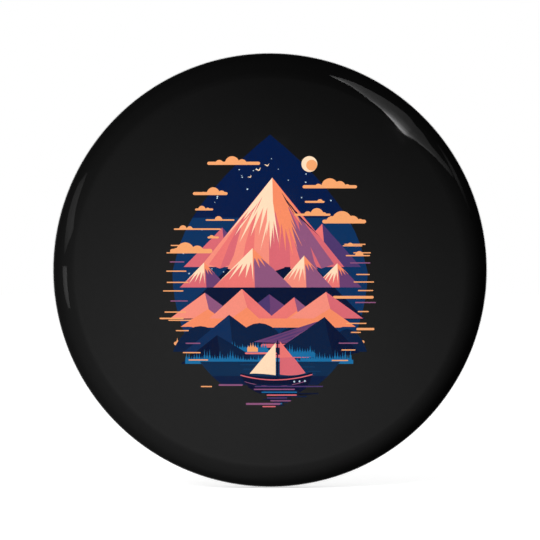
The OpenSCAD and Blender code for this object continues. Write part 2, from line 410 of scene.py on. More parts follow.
def draw_clouds(draw):
    for x, z, length, base, puffs in (
        (-4.8, 14.1, 7.0, 0.42, ((-1.9, 0.55), (-0.2, 0.95), (1.1, 0.62), (2.2, 0.36))),
        (7.9, 11.0, 7.2, 0.42, ((-1.5, 0.5), (0.0, 1.1), (1.3, 0.8), (2.3, 0.45))),
        (-7.9, 10.1, 4.6, 0.40, ((-0.9, 0.36), (0.4, 0.85), (1.5, 0.5))),
        (-8.7, 8.0, 2.4, 0.26, ((-0.3, 0.5), (0.5, 0.3))),
        (5.9, 9.0, 2.6, 0.26, ((0.7, 0.4),)),
        (9.8, 6.4, 5.8, 0.50, ((-1.6, 0.8), (-0.3, 1.35), (1.1, 0.85), (2.1, 0.5))),
        (5.6, 7.3, 4.8, 0.30, ((-0.6, 0.5), (0.6, 0.85), (1.5, 0.4))),
        (-9.6, 5.4, 6.2, 0.20, ((-1.9, 0.5), (-1.0, 0.4))),
        (-6.6, 6.6, 3.8, 0.18, ((-0.2, 0.5),)),
        (-10.4, 2.5, 5.6, 0.60, ((-1.9, 0.6), (-0.8, 1.2), (0.8, 0.85), (2.0, 0.4))),
        (-7.5, 4.3, 1.5, 0.26, ((-0.2, 0.36),)),
        (10.9, 3.2, 2.6, 0.16, ((-0.3, 0.4),)),
        (11.6, 1.9, 3.2, 0.16, ((0.2, 0.55),)),
        (11.0, -3.6, 5.4, 0.36, ((1.7, 0.2),)),
        (-10.9, -9.7, 3.6, 0.50, ()),
        (10.6, -9.5, 3.8, 0.40, ()),
    ):
        cloud(x, z, length, base, puffs)
    pines("peach", -12.4, -9.4, -9.6, 0.8, draw, 0.3)
    pines("peach", 9.0, 12.0, -9.4, 0.8, draw, 0.3)


def draw_dashes(draw):
    """Level strokes that carry the picture out past the patch on both sides."""
    for side in (-1, 1):
        for i in range(13):
            z = 3.4 - 1.28 * i + draw.uniform(-0.3, 0.3)
            if z < -12.4:
                continue
            x = side * (egg(z) + draw.uniform(-0.7, 0.5))
            ink = "mauve" if i % 4 == 2 else "peach"
            dash(ink, x, z, draw.uniform(1.3, 3.2), 0.15)
    dash("peach", -13.0, -6.4, 3.2, 0.2)
    dash("peach", 12.6, -7.8, 2.4, 0.3)


def bird(x, z, span, tilt):
    """Small bird in flight: two swept wings."""
    c, s = cos(tilt), sin(tilt)
    wings = [(0, 0), (-0.5, 0.42), (-0.12, 0.34), (0.06, 0.16), (0.5, 0.5), (0.22, 0.02)]
    paint("snow", [(x + span * (c * a - s * b), z + span * (s * a + c * b)) for a, b in wings])


draw = random.Random(7)
draw_sky(draw)
draw_peak(draw)
draw_clouds(draw)
draw_foothills(draw)
draw_dark_hills(draw)
draw_lake(draw)
draw_boat()
draw_water_marks(draw)
draw_dashes(draw)
for x, z, span, tilt in ((-1.5, 13.1, 0.8, 0.3), (-0.4, 13.7, 0.7, 0.1), (-2.6, 12.2, 0.6, 0.5)):
    bird(x, z, span, tilt)


# Materials


def linear(r, g, b):
    """A colour given by its 0 to 255 screen values, as Blender wants it."""

    def one(v):
        v /= 255
        return v / 12.92 if v <= 0.04045 else ((v + 0.055) / 1.055) ** 2.4

    return (one(r), one(g), one(b))


class Nodes:
    """Short ways to build a node tree. A value is a constant or another node's output."""

    def __init__(self, tree):
        self.tree = tree

    def put(self, socket, value):
        if isinstance(value, bpy.types.NodeSocket):
            self.tree.links.new(value, socket)
        else:
            socket.default_value = value

    def fill(self, node, **values):
        """Sets a node's inputs. Each value's name is its socket's, with _ for a space."""
        for name, value in values.items():
            self.put(node.inputs[name.replace("_", " ")], value)

    def add(self, kind, **values):
        """New node of a kind, with its inputs by name."""
        node = self.tree.nodes.new("ShaderNode" + kind)
        self.fill(node, **values)
        return node

    def feed(self, node, values):
        """Sets a node's first inputs, in order."""
        for socket, value in zip(node.inputs, values):
            self.put(socket, value)
        return node

    def operate(self, kind, operation, values):
        node = self.add(kind)
        node.operation = operation
        return self.feed(node, values)

    def math(self, operation, *values):
        return self.operate("Math", operation, values).outputs[0]

    def vector(self, operation, *values):
        node = self.operate("VectorMath", operation, values)
        return node.outputs["Value" if operation in ("DOT_PRODUCT", "LENGTH") else "Vector"]

    def scaled(self, vector, factor):
        node = self.operate("VectorMath", "SCALE", (vector,))
        self.fill(node, Scale=factor)
        return node.outputs[0]

    def mix(self, share, a, b):
        """Shader between two shaders."""
        return self.feed(self.add("MixShader"), (share, a, b)).outputs[0]

    def place(self):
        """Place on the object in metres."""
        return self.add("TexCoord").outputs["Object"]

    def noise(self, vector, scale, detail=2.0, rough=0.5):
        node = self.add("TexNoise", Vector=vector, Scale=scale, Detail=detail, Roughness=rough)
        return node.outputs["Fac"]

    def spread(self, value, low, high, from_low=0.0, from_high=1.0):
        values = {"From_Min": from_low, "From_Max": from_high, "To_Min": low, "To_Max": high}
        return self.add("MapRange", Value=value, **values).outputs["Result"]

    def blend(self, share, a, b):
        """Colour between two colours."""
        node = self.add("Mix")
        node.data_type = "RGBA"
        self.put(node.inputs[0], share)
        self.put(node.inputs[6], a)
        self.put(node.inputs[7], b)
        return node.outputs[2]

    def bump(self, height, depth, below=None):
        """Normal of a surface whose height from 0 to 1 stands for depth metres."""
        node = self.add("Bump", Height=height, Distance=depth, Strength=1.0)
        if below is not None:
            self.fill(node, Normal=below)
        return node.outputs["Normal"]


def new_material(name):
    """A material, its node shorthand and its Principled shader."""
    mat = bpy.data.materials.new(name)
    mat.use_nodes = True
    return mat, Nodes(mat.node_tree), mat.node_tree.nodes["Principled BSDF"]


FILM_IOR = 1.5
SMOOTH_GLOSS = 0.03  # roughness of the laminate on the inks

INKS = {
    "black": (5, 5, 5), "night": (2, 24, 68), "dusk": (8, 48, 92), "midnight": (2, 16, 50),
    "star": (190, 214, 232), "snow": (252, 218, 184), "peach": (243, 164, 108),
    "orange": (243, 138, 98), "salmon": (242, 140, 122), "coral": (232, 116, 112),
    "rose": (214, 102, 112), "mauve": (140, 84, 122), "plum": (104, 62, 110),
    "violet": (76, 54, 106), "slate": (10, 42, 84), "hill": (4, 28, 62), "pine": (22, 106, 158),
    "water": (8, 42, 76), "shoal": (10, 54, 92), "deep": (6, 26, 62), "hull": (4, 12, 46),
    "paper": (236, 234, 228),
}


def film_waves(n, place):
    """Faint waves that lamination leaves in the gloss."""
    return n.bump(n.noise(place, 420, 1), 1.5e-6)


def ink_material(name):
    """Ink on paper under its laminate: a fine print grain, a broad unevenness and the paper's
    tooth, below a smooth clear gloss that the picture's denser inks take less of."""
    mat, n, p = new_material("ink_" + name)
    place = n.place()
    grain = n.noise(place, 5200, 2, 0.6)
    cloudy = n.noise(place, 260, 3)
    level = n.math("MULTIPLY", n.spread(grain, 0.92, 1.08), n.spread(cloudy, 0.95, 1.05))
    n.fill(
        p,
        Base_Color=n.scaled(linear(*INKS[name]), level),
        Roughness=n.spread(cloudy, 0.5, 0.68),
        Specular_IOR_Level=0.0,
        Normal=n.bump(grain, 2e-6),
        Coat_Weight=1.0 if name in ("black", "paper") else 0.3,
        Coat_Roughness=SMOOTH_GLOSS,
        Coat_IOR=FILM_IOR,
        Coat_Normal=film_waves(n, place),
    )
    return mat


def film_material():
    """Clear film. Up to a steep slant its gloss is the laminate's on the ink, and its own share
    grows from nothing there to a full mirror at grazing angles; handling marks roughen it."""
    mat, n, p = new_material("clear_film")
    mat.node_tree.nodes.remove(p)
    place = n.place()
    waves = film_waves(n, place)
    marks = n.noise(n.vector("MULTIPLY", place, (900, 900, 5200)), 1.0, 3, 0.65)
    smears = n.noise(place, 95, 3, 0.6)
    rough = n.math("ADD", n.spread(marks, 0.0, 0.022, 0.45, 0.8), n.spread(smears, 0.018, 0.05))
    gloss = n.add("BsdfGlossy", Roughness=rough, Normal=waves)
    outside = n.math("SUBTRACT", 1.0, n.add("NewGeometry").outputs["Backfacing"])
    on_ink = 0.15  # share of the light that the laminate mirrors before the film adds its own
    fresnel = n.add("Fresnel", IOR=FILM_IOR, Normal=waves).outputs[0]
    rise = n.math("MAXIMUM", n.math("SUBTRACT", fresnel, on_ink), 0.0)
    share = n.math("MULTIPLY", rise, outside)
    mixed = n.mix(share, n.add("BsdfTransparent").outputs[0], gloss.outputs[0])
    n.fill(mat.node_tree.nodes["Material Output"], Surface=mixed)
    return mat


def sheet_material(name, bright, dull, grain):
    """Tinned sheet: long rolling lines along X, a soft mottle and smudges that dull it. The grain
    is the lines' depth in metres."""
    mat, n, p = new_material(name)
    place = n.place()
    rolled = n.noise(n.vector("MULTIPLY", place, (35, 2600, 2600)), 1.0, 2, 0.55)
    mottle = n.noise(place, 900, 3, 0.6)
    smudge = n.noise(place, 70, 3, 0.6)
    tone = n.blend(n.spread(smudge, 0.0, 0.7, 0.35, 0.75), (*bright, 1), (*dull, 1))
    lined = n.spread(rolled, 0.0, 0.35, 0.35, 0.75)
    colour = n.blend(lined, tone, (*dull, 1))
    rough = n.math("ADD", n.spread(rolled, 0.26, 0.36), n.spread(smudge, -0.03, 0.05, 0.3, 0.7))
    rolling = n.bump(mottle, 6e-7, n.bump(rolled, grain))
    n.fill(p, Base_Color=colour, Metallic=1.0, Roughness=rough, Normal=rolling)
    return mat


def plated_material(name, bright, dull, lines):
    """Nickel plate: soft orange peel over tool lines, with hairline scratches and a worn tone.
    The lines are how fine the tool's marks are along X, Y and Z."""
    mat, n, p = new_material(name)
    place = n.place()
    tool = n.noise(n.vector("MULTIPLY", place, lines), 1.0, 3, 0.6)
    peel = n.noise(place, 3800, 2)
    worn_at = n.noise(place, 240, 3, 0.6)
    scratch = n.noise(n.vector("MULTIPLY", place, (420, 15000, 15000)), 1.0, 1, 0.6)
    hairline = n.spread(scratch, 0.0, 1.0, 0.66, 0.72)
    tone = n.blend(n.spread(worn_at, 0.0, 1.0, 0.3, 0.75), (*bright, 1), (*dull, 1))
    colour = n.blend(n.math("MULTIPLY", hairline, 0.4), tone, (*dull, 1))
    rough = n.math("ADD", n.spread(worn_at, 0.13, 0.30), n.math("MULTIPLY", hairline, 0.12))
    marked = n.bump(peel, 1.2e-6, n.bump(tool, 2.5e-6))
    n.fill(p, Base_Color=colour, Metallic=1.0, Roughness=rough, Normal=marked)
    return mat


# Film, paper and shell


def pleat(angle):
    """How far the gathered sheet dips at one angle round the rim, from 0 to 1."""
    wander = 1.9 * sin(5 * angle + 0.4) + 1.1 * sin(13 * angle + 2.0)
    fold = 0.5 + 0.5 * sin(PLEATS * angle + wander)
    strength = 0.72 + 0.28 * sin(9 * angle + 1.3) * sin(23 * angle)
    return strength * fold**2.2


def dome_height(radius, depth):
    return DOME_AT[1] + sqrt((DOME_R - depth) ** 2 - radius**2)


def layer_path(depth, edge_h):
    """One side of a layer from the apex to its edge. Each point is its radius and height, its share
    of the pleats and the direction in which they dip."""
    up, down = pi / 2, -pi / 2
    nearly = up - 0.985 * DOME_EDGE  # the last of the dome is a narrow ring, so its shading is even
    dome = arc(DOME_AT, DOME_R - depth, up, nearly, 16)
    dome += arc(DOME_AT, DOME_R - depth, nearly, up - DOME_EDGE, 2)[1:]
    width, height = SHOULDER_W - depth, SHOULDER_H - depth
    shoulder = arc(SHOULDER_AT, width, up - BEND_START, 0, 22, height)[1:]
    curl = arc((FLAT_OUT_R, CURL_R), CURL_R - depth, 0, down, 9)
    roll = arc((FLAT_IN_R, ROLL_R), ROLL_R - depth, down, -pi, 8)
    points = dome + shoulder + curl + roll + [(LIP_R + depth, edge_h)]
    first = len(dome) + len(shoulder)
    last = len(points) - 1
    path = []
    for i, (r, h) in enumerate(points):
        if i <= first:
            inward = (0.0, 0.0)
        elif i < first + len(curl):
            inward = (FLAT_OUT_R - r, CURL_R - h)
        elif i < last:
            inward = (FLAT_IN_R - r, ROLL_R - h)
        else:
            inward = (1.0, 0.0)
        length = hypot(*inward) or 1.0
        share = max(0.0, (i - first) / (last - first)) ** 1.5
        path.append((r, h, share, (inward[0] / length, inward[1] / length)))
    return path


def lathe_ring(bm, point, steps):
    """The ring of vertices for one point of a path, or its pole on the axis."""
    r, h, share, inward = point
    if r < 1e-6:
        return [bm.verts.new(worn(0, 0, h))]
    ring = []
    for i in range(steps):
        angle = tau * i / steps
        dip = share * PLEAT_DEPTH * pleat(angle) if share else 0.0
        ring.append(bm.verts.new(worn(r + dip * inward[0], angle, h + dip * inward[1])))
    return ring


def bridge(bm, ring_a, ring_b, material=0):
    """Faces between two neighbouring rings, either of which may be a pole."""
    for i in range(max(len(ring_a), len(ring_b))):
        j = (i + 1) % max(len(ring_a), len(ring_b))
        if len(ring_a) == 1:
            corners = (ring_a[0], ring_b[j], ring_b[i])
        elif len(ring_b) == 1:
            corners = (ring_a[i], ring_a[j], ring_b[0])
        else:
            corners = (ring_a[i], ring_a[j], ring_b[j], ring_b[i])
        bm.faces.new(corners).material_index = material


def lathe(bm, points, steps, material=0):
    """Surface of revolution of a path, as its rings from first to last."""
    rings = [lathe_ring(bm, p, steps) for p in points]
    for a, b in zip(rings, rings[1:]):
        bridge(bm, a, b, material)
    return rings


def layer(name, near, far, edge_h):
    """A whole layer between two depths below the badge's outer surface."""
    bm = bmesh.new()
    lathe(bm, layer_path(near, edge_h) + layer_path(far, edge_h)[::-1], RIM_STEPS)
    return mesh_object(name, bm)


def signed_area(outline):
    turned = outline[1:] + outline[:1]
    return sum(a[0] * b[1] - b[0] * a[1] for a, b in zip(outline, turned)) / 2


def cut_picture():
    """Cuts the printed circle along every outline. Gives its points and, for each triangle, its
    corners and the ink on top."""
    circle = arc((0, 0), ART_R, 0, tau, RIM_STEPS)[:-1]
    shapes = [("black", circle)] + picture
    points, faces = [], []
    for _, outline in shapes:
        if signed_area(outline) < 0:
            outline = outline[::-1]
        faces.append(list(range(len(points), len(points) + len(outline))))
        points += [Vector(p) for p in outline]
    rows = int(ART_R / ART_GRID) + 1
    for i in range(-rows, rows + 1):
        for j in range(-rows, rows + 1):
            p = Vector(((i + 0.5 * (j % 2)) * ART_GRID, j * ART_GRID * 0.866))
            if p.length < ART_R - 0.5 * ART_GRID:
                points.append(p)
    made = delaunay_2d_cdt(points, [], faces, 1, 1e-5, True)
    flat, triangles, owners = made[0], made[2], made[5]
    return flat, [(t, shapes[max(o)][0]) for t, o in zip(triangles, owners) if o]


def printed_paper():
    """The printed disc: its cut-up picture, plain black round it, and white paper behind."""
    inks = list(INKS)
    bm = bmesh.new()
    flat, triangles = cut_picture()
    corners = [
        bm.verts.new(Vector((p.x, -dome_height(p.length, PAPER_DEPTH), p.y)) * MM) for p in flat
    ]
    for triangle, name in triangles:
        bm.faces.new([corners[i] for i in triangle]).material_index = inks.index(name)
    edge_h = LIP_H - LIP_STAGGER
    clear_of_art = 0.3
    near = [p for p in layer_path(PAPER_DEPTH, edge_h) if p[0] > ART_R + clear_of_art]
    far = layer_path(PAPER_DEPTH + PAPER_T, edge_h)[::-1]
    start = (ART_R, dome_height(ART_R, PAPER_DEPTH), 0.0, (0.0, 0.0))
    front = lathe(bm, [start] + near, RIM_STEPS, inks.index("black"))
    back = lathe(bm, far, RIM_STEPS, inks.index("paper"))
    bridge(bm, front[-1], back[0], inks.index("paper"))
    bmesh.ops.remove_doubles(bm, verts=bm.verts, dist=2e-7)
    obj = mesh_object("printed_paper", bm)
    for name in inks:
        obj.data.materials.append(ink_material(name))
    return obj


def stand_for(obj, body, node):
    """Makes a piece ride on a body in place of a CAD node, which it hides."""
    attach(obj, body)
    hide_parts(node)


def fit_skin(obj, node):
    shade_smooth(obj.data)
    stand_for(obj, "badge", node)


film = layer("film_skin", 0.0, FILM_T, LIP_H)
film.data.materials.append(film_material())
fit_skin(film, "clear_film")
fit_skin(printed_paper(), "printed_disc")
shell = layer("tin_shell", SHELL_DEPTH, SHELL_DEPTH + SHELL_T, LIP_H - 2 * LIP_STAGGER)
shell.data.materials.append(sheet_material("tinplate", (0.78, 0.78, 0.76), (0.6, 0.6, 0.58), 1.5e-6))
fit_skin(shell, "front_shell")


# Back plate and pin

# Heights over the back rim, towards the face: the wearer's side of each part comes first
PLATE_T = 0.3
FLOOR_H = 2.2
RING_H = 1.15
FLANGE_R = 28.22
FLANGE_BEND = 0.62
FLANGE_H = 0.72
STEP_OUT_R = 24.6
STEP_IN_R = 23.55
STEP_BEND = 0.375
BEAD_AT = (18.7, 2.8)
BEAD_R = 0.9

BAR_LOW, BAR_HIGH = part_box("pin_bar")
BAR_L = (BAR_HIGH.x - BAR_LOW.x) / MM
BAR_W = (BAR_HIGH.z - BAR_LOW.z) / MM
BAR_T = 0.6
BAR_H = FLOOR_H - BAR_T
RIVET_X = 7.0
RIVET_R = 0.75
HINGE_X = -14.0
HINGE_R = 0.5
PIN_Y = 0.2  # the wire's axis, and the hinge's and the sleeve's, over the back rim
EAR_R = 1.3
EAR_FOOT = 0.4
EAR_GAP = 1.0
EAR_T = 0.5
ROOT = -(BAR_H + PIN_Y + BAR_T / 2)  # middle of the bar, measured from the pin's axis
CATCH_X = 12.7
CATCH_L = 3.0
TIP_X = 17.2


def moved(obj, matrix):
    obj.data.transform(matrix)
    return obj


def bake_modifiers(obj):
    graph = bpy.context.evaluated_depsgraph_get()
    obj.data = bpy.data.meshes.new_from_object(obj.evaluated_get(graph))
    obj.modifiers.clear()
    return obj


def combine(base, others, operation="UNION"):
    """Joins the other solids to base, or cuts them out of it, and removes them."""
    for other in others:
        step = base.modifiers.new("combine", "BOOLEAN")
        step.operation = operation
        step.solver = "EXACT"
        step.object = other
    bake_modifiers(base)
    for other in others:
        bpy.data.objects.remove(other)
    return base


def weld(obj, near, clean):
    """Joins the points that a cut left nearer than near, then cleans the mesh another way."""
    bm = bmesh.new()
    bm.from_mesh(obj.data)
    bmesh.ops.remove_doubles(bm, verts=bm.verts, dist=near)
    clean(bm)
    bm.to_mesh(obj.data)
    bm.free()


def mend(obj):
    """Drops the faces without an area that a cut left."""
    weld(obj, 1e-3, lambda bm: bmesh.ops.dissolve_degenerate(bm, edges=bm.edges, dist=1e-4))


def soften(obj, width):
    """Rounds the edges that bend by more than the facets of an arc do."""

    def flatten(bm):
        bmesh.ops.dissolve_limit(bm, angle_limit=radians(0.4), verts=bm.verts, edges=bm.edges)

    weld(obj, 2e-4, flatten)
    obj.data.polygons.foreach_set("use_smooth", [True] * len(obj.data.polygons))
    bevel = obj.modifiers.new("round", "BEVEL")
    bevel.width = width
    bevel.segments = 3
    bevel.limit_method = "ANGLE"
    bevel.angle_limit = radians(28)
    bevel.harden_normals = True
    return bake_modifiers(obj)


def prism(name, outline, axis, low, high):
    """Solid with one outline along an axis. The outline is given in the other two, in order."""
    bm = bmesh.new()
    ends = []
    for at in (low, high):
        corners = []
        for p in outline:
            place = list(p)
            place.insert(axis, at)
            corners.append(bm.verts.new(place))
        ends.append(corners)
    for a in range(len(outline)):
        b = (a + 1) % len(outline)
        bm.faces.new((ends[0][a], ends[0][b], ends[1][b], ends[1][a]))
    bm.faces.new(ends[0])
    bm.faces.new(ends[1])
    return mesh_object(name, bm)


def turned(name, points, steps=64, closed=False):
    """Turned solid about the badge's axis, in millimetres, from its section's radii and heights."""
    bm = bmesh.new()
    rings = lathe(bm, [(r, h, 0.0, (0.0, 0.0)) for r, h in points], steps)
    if closed:
        bridge(bm, rings[-1], rings[0])
    return moved(mesh_object(name, bm), Matrix.Scale(1 / MM, 4))


# Turn a solid that lies along the badge's axis so that its height runs along X or along Z
ONTO_X = Matrix.Rotation(pi / 2, 4, "Z")
ONTO_Z = Matrix.Rotation(-pi / 2, 4, "X")


def shift(x=0.0, y=0.0, z=0.0):
    return Matrix.Translation((x, y, z))


def sweep(centre, radius, start, end, steps):
    return arc(centre, radius, radians(start), radians(end), steps)


def plate_path(depth):
    """One side of the back plate's section, from its axis out to the flange's cut edge."""
    outer, inner = STEP_BEND + PLATE_T - depth, STEP_BEND + depth
    sink = BEAD_AT[1] - FLOOR_H - depth
    bead_r = BEAD_R - depth
    bead_open = degrees(acos(sink / bead_r))
    flange_at = (FLANGE_R - FLANGE_BEND, RING_H + PLATE_T - FLANGE_BEND)
    return (
        [(0.0, FLOOR_H + depth)]
        + sweep(BEAD_AT, bead_r, -90 - bead_open, -90 + bead_open, 14)
        + sweep((STEP_IN_R, FLOOR_H - STEP_BEND), inner, 90, 0, 7)
        + sweep((STEP_OUT_R, RING_H + STEP_BEND + PLATE_T), outer, 180, 270, 7)
        + sweep(flange_at, FLANGE_BEND - PLATE_T + depth, 90, 0, 7)
        + [(FLANGE_R - PLATE_T + depth, FLANGE_H)]
    )


def bore(radius, start, end, steps=64):
    """Round cutter between two heights."""
    return turned("bore", [(0.0, start), (radius, start), (radius, end), (0.0, end)], steps)


def rivet_hole(side):
    """Cutter for one rivet. It is turned a little, so that none of its points meets an edge."""
    off_edge = Matrix.Rotation(radians(1.3), 4, "Y")
    return moved(bore(RIVET_R, 0.5, 4.0), shift(x=side * RIVET_X) @ off_edge)


def back_cover():
    points = plate_path(0.0) + plate_path(PLATE_T)[::-1]
    cover = turned("back_cover", points, 288)
    mend(combine(cover, [rivet_hole(-1), rivet_hole(1)], "DIFFERENCE"))
    shade_smooth(cover.data)
    return cover


def ear(side):
    crown = sweep((HINGE_X, PIN_Y), EAR_R, 0, 180, 28)
    root = [
        (HINGE_X - EAR_R - EAR_FOOT, PIN_Y + ROOT),
        (HINGE_X + EAR_R + EAR_FOOT, PIN_Y + ROOT),
    ]
    inside = side * EAR_GAP / 2
    return prism("ear", crown + root, 2, *sorted((inside, inside + side * EAR_T)))


def catch_housing():
    """Rolled C that holds the sleeve, open towards the wearer, with rounded lips."""
    in_r, out_r, neck = 1.45, 1.9, 1.1
    mouth = 62  # half the opening in degrees
    middle_r, lip_r = (in_r + out_r) / 2, (out_r - in_r) / 2
    lip = mouth + degrees(asin(lip_r / middle_r))
    neck_angle = 180 - degrees(asin(neck / out_r))
    lips = sweep((0, 0), middle_r, lip, -lip, 1)
    outline = (
        sweep((0, 0), out_r, lip, neck_angle, 24)
        + [(ROOT, neck), (ROOT, -neck)]
        + sweep((0, 0), out_r, 360 - neck_angle, 360 - lip, 24)
        + sweep(lips[1], lip_r, -lip, 180 - lip, 10)[1:-1]
        + sweep((0, 0), in_r, 360 - lip, lip, 64)
        + sweep(lips[0], lip_r, lip - 180, lip, 10)[1:-1]
    )
    outline = [(y + PIN_Y, z) for y, z in outline]
    return prism("housing", outline, 0, CATCH_X, CATCH_X + CATCH_L)


def pin_strip():
    """Stamped bar with its two ears and its catch housing in one piece."""
    half, end = (BAR_L - BAR_W) / 2, BAR_W / 2
    outline = sweep((half, 0), end, -90, 90, 36) + sweep((-half, 0), end, 90, 270, 36)
    strip = prism("pin_strip", outline, 1, -FLOOR_H, -BAR_H)
    combine(strip, [ear(-1), ear(1), catch_housing()])
    holes = [rivet_hole(-1), rivet_hole(1)]
    holes.append(moved(bore(HINGE_R, -2.0, 2.0, 40), shift(HINGE_X, PIN_Y) @ ONTO_Z))
    combine(strip, holes, "DIFFERENCE")
    return soften(strip, 0.07)


def head_path(radius, height, dimple):
    """Rivet head over 0 from its rim to its axis, with the mark that the setting tool left."""
    cap_r = (radius**2 + height**2) / (2 * height)
    start = asin((radius - 0.06) / cap_r)
    stop = asin(dimple / cap_r)
    dome = arc((0.0, height - cap_r), cap_r, pi / 2 - start, pi / 2 - stop, 10)
    return [(radius, 0.03)] + dome + [(0.55 * dimple, height - 0.07), (0.0, height - 0.09)]


def bar_rivet(name, side):
    """Rivet through the bar and the plate: head on the bar, clenched tail behind the plate."""
    tail_h = FLOOR_H + PLATE_T
    tail_r, head_r = 1.2, 1.4
    tail = [(r, tail_h + h) for r, h in head_path(tail_r, 0.35, 0.5)[::-1]]
    shank = [(tail_r, tail_h), (RIVET_R, tail_h), (RIVET_R, BAR_H), (head_r, BAR_H)]
    head = [(r, BAR_H - h) for r, h in head_path(head_r, 0.42, 0.42)]
    return moved(turned(name, tail + shank + head), shift(x=side * RIVET_X))


def hinge_rivet(name):
    half, head_r = EAR_GAP / 2 + EAR_T, 0.85
    head = head_path(head_r, 0.35, 0.28)
    low = [(r, -half - h) for r, h in head[::-1]] + [(head_r, -half), (HINGE_R, -half)]
    high = [(HINGE_R, half), (head_r, half)] + [(r, half + h) for r, h in head]
    return moved(turned(name, low + high, 48), shift(HINGE_X, PIN_Y) @ ONTO_Z)


def pin_wire():
    """Spring wire with its flattened eye, its flowing neck and its ground point."""
    eye_in, eye_out, half_t, edge = 0.55, 1.2, 0.4, 0.14
    ring = (
        sweep((eye_out - edge, half_t - edge), edge, 0, 90, 5)
        + sweep((eye_in + edge, half_t - edge), edge, 90, 180, 5)
        + sweep((eye_in + edge, edge - half_t), edge, 180, 270, 5)
        + sweep((eye_out - edge, edge - half_t), edge, 270, 360, 5)
    )
    eye = moved(turned("pin_wire", ring, 72, closed=True), shift(HINGE_X, PIN_Y) @ ONTO_Z)
    wire_r, wire_x, taper_x, tip_r = 0.45, HINGE_X + 0.9, 11.6, 0.05
    neck = [(wire_r + 0.07 * (1 - i / 8) ** 2, wire_x + 1.3 * i / 8) for i in range(9)]
    body = [(wire_r, x) for x in (-9, -4, 1, 6, 10)]
    taper = [
        (wire_r - (wire_r - tip_r) * (i / 10) ** 1.25, taper_x + 5.5 * i / 10) for i in range(11)
    ]
    point = [(0.035, TIP_X - 0.04), (0.0, TIP_X)]
    wire = turned("wire", [(0.0, wire_x)] + neck + body + taper + point, 40)
    moved(wire, shift(y=PIN_Y) @ ONTO_X)
    # the wire flattens towards its eye
    for v in wire.data.vertices:
        left = max(0.0, min(1.0, (HINGE_X + 2.4 - v.co.x) / 1.5)) ** 2
        v.co.z *= 1 - 0.22 * left
        v.co.y = PIN_Y + (v.co.y - PIN_Y) * (1 + 0.12 * left)
    mend(combine(eye, [wire]))
    shade_smooth(eye.data, radians(40))
    return eye


def slotted(radius):
    """Section of the catch sleeve, with its slot open towards the wearer."""
    half = 0.6
    mouth = degrees(asin(half / radius))
    outline = sweep((0, 0), radius, mouth, 360 - mouth, 60)
    outline += sweep((0, 0), half, 270, 90, 16)
    return [(y + PIN_Y, z) for y, z in outline]


def catch_sleeve():
    """Sleeve with a flange at each end of its housing and a rounded thumb tab."""
    sleeve_r, flange_r, flange_t, play = 1.4, 1.72, 0.3, 0.08
    start, end = CATCH_X - play - flange_t, CATCH_X + CATCH_L + play + flange_t
    sleeve = prism("catch_sleeve", slotted(sleeve_r), 0, start, end)
    flanges = [
        prism("flange", slotted(flange_r), 0, start, start + flange_t),
        prism("flange", slotted(flange_r), 0, end - flange_t, end),
    ]
    width, reach, thick = 2.2, 3.4, 0.56
    tip = sweep((0, reach - width / 2), width / 2, 0, 180, 24)
    outline = tip + [(-width / 2, 1.0), (width / 2, 1.0)]
    tab = prism("tab", outline, 2, -thick / 2, thick / 2)
    turn = Matrix.Rotation(radians(-46.5), 4, "X")
    moved(tab, shift((start + end) / 2, PIN_Y) @ turn)
    combine(sleeve, flanges + [tab])
    return soften(sleeve, 0.06)


STEEL = ((0.80, 0.80, 0.79), (0.66, 0.66, 0.65))
NICKEL = ((0.84, 0.82, 0.79), (0.66, 0.64, 0.61))
stamped = plated_material("nickel_stamped", *NICKEL, (1200, 1200, 6000))
drawn_wire = plated_material("nickel_wire", *NICKEL, (350, 9000, 9000))
rolled_sleeve = plated_material("nickel_sleeve", *NICKEL, (7000, 900, 900))
pressed = sheet_material("back_steel", *STEEL, 1.2e-6)

metal = bpy.data.collections.new("metal")


def fit_metal(obj, mat, body, node):
    """Scales a finished metal part to metres, gives it its material and body, and hides the CAD node
    that it stands for.
    """
    moved(obj, Matrix.Scale(MM, 4))
    obj.data.materials.clear()
    obj.data.materials.append(mat)
    metal.objects.link(obj)
    stand_for(obj, body, node)


fit_metal(back_cover(), pressed, "badge", "back_plate")
fit_metal(pin_strip(), stamped, "badge", "pin_bar")
for name, side in (("left", -1), ("right", 1)):
    rivet = bar_rivet("rivet_" + name, side)
    shade_smooth(rivet.data)
    fit_metal(rivet, stamped, "badge", "bar_rivet_" + name)
axle = hinge_rivet("hinge_axle")
shade_smooth(axle.data)
fit_metal(axle, stamped, "badge", "hinge_rivet")
fit_metal(pin_wire(), drawn_wire, "stem", "pin_stem")
fit_metal(catch_sleeve(), rolled_sleeve, "catch", "catch_barrel")


# Studio

FILL = 0.55  # even light on matt surfaces, and the floor's own light
CARD_DISTANCE = 1.5
SOFTBOX_DISTANCE = 1.2


def add_camera():
    data = bpy.data.cameras.new("camera")
    cam = add_object("camera", data)
    data.lens = 200
    data.sensor_width = 36
    badge_share = 0.8052  # of the picture's width
    half_view = BADGE_R * MM / badge_share
    distance = half_view / (data.sensor_width / 2 / data.lens)
    cam.location = (0, -SHOULDER_AT[1] * MM - distance, 0)
    cam.rotation_euler = (pi / 2, 0, 0)
    bpy.context.scene.camera = cam


def add_floor():
    bm = bmesh.new()
    half_size = 3
    bmesh.ops.create_grid(bm, x_segments=1, y_segments=1, size=half_size)
    floor = mesh_object("floor", bm)
    floor.location.z = cad_low.z
    mat, n, p = new_material("pale_floor")
    paint = n.noise(n.place(), 30, 3)
    colour = n.scaled((0.9, 0.9, 0.9), n.spread(paint, 0.99, 1.01))
    n.fill(p, Base_Color=colour, Roughness=0.9, Specular_IOR_Level=0.0)
    n.fill(p, Emission_Color=(1, 1, 1, 1), Emission_Strength=FILL)
    mat.cycles.emission_sampling = "NONE"
    floor.data.materials.append(mat)
    floor.visible_glossy = False
    floor.visible_diffuse = False


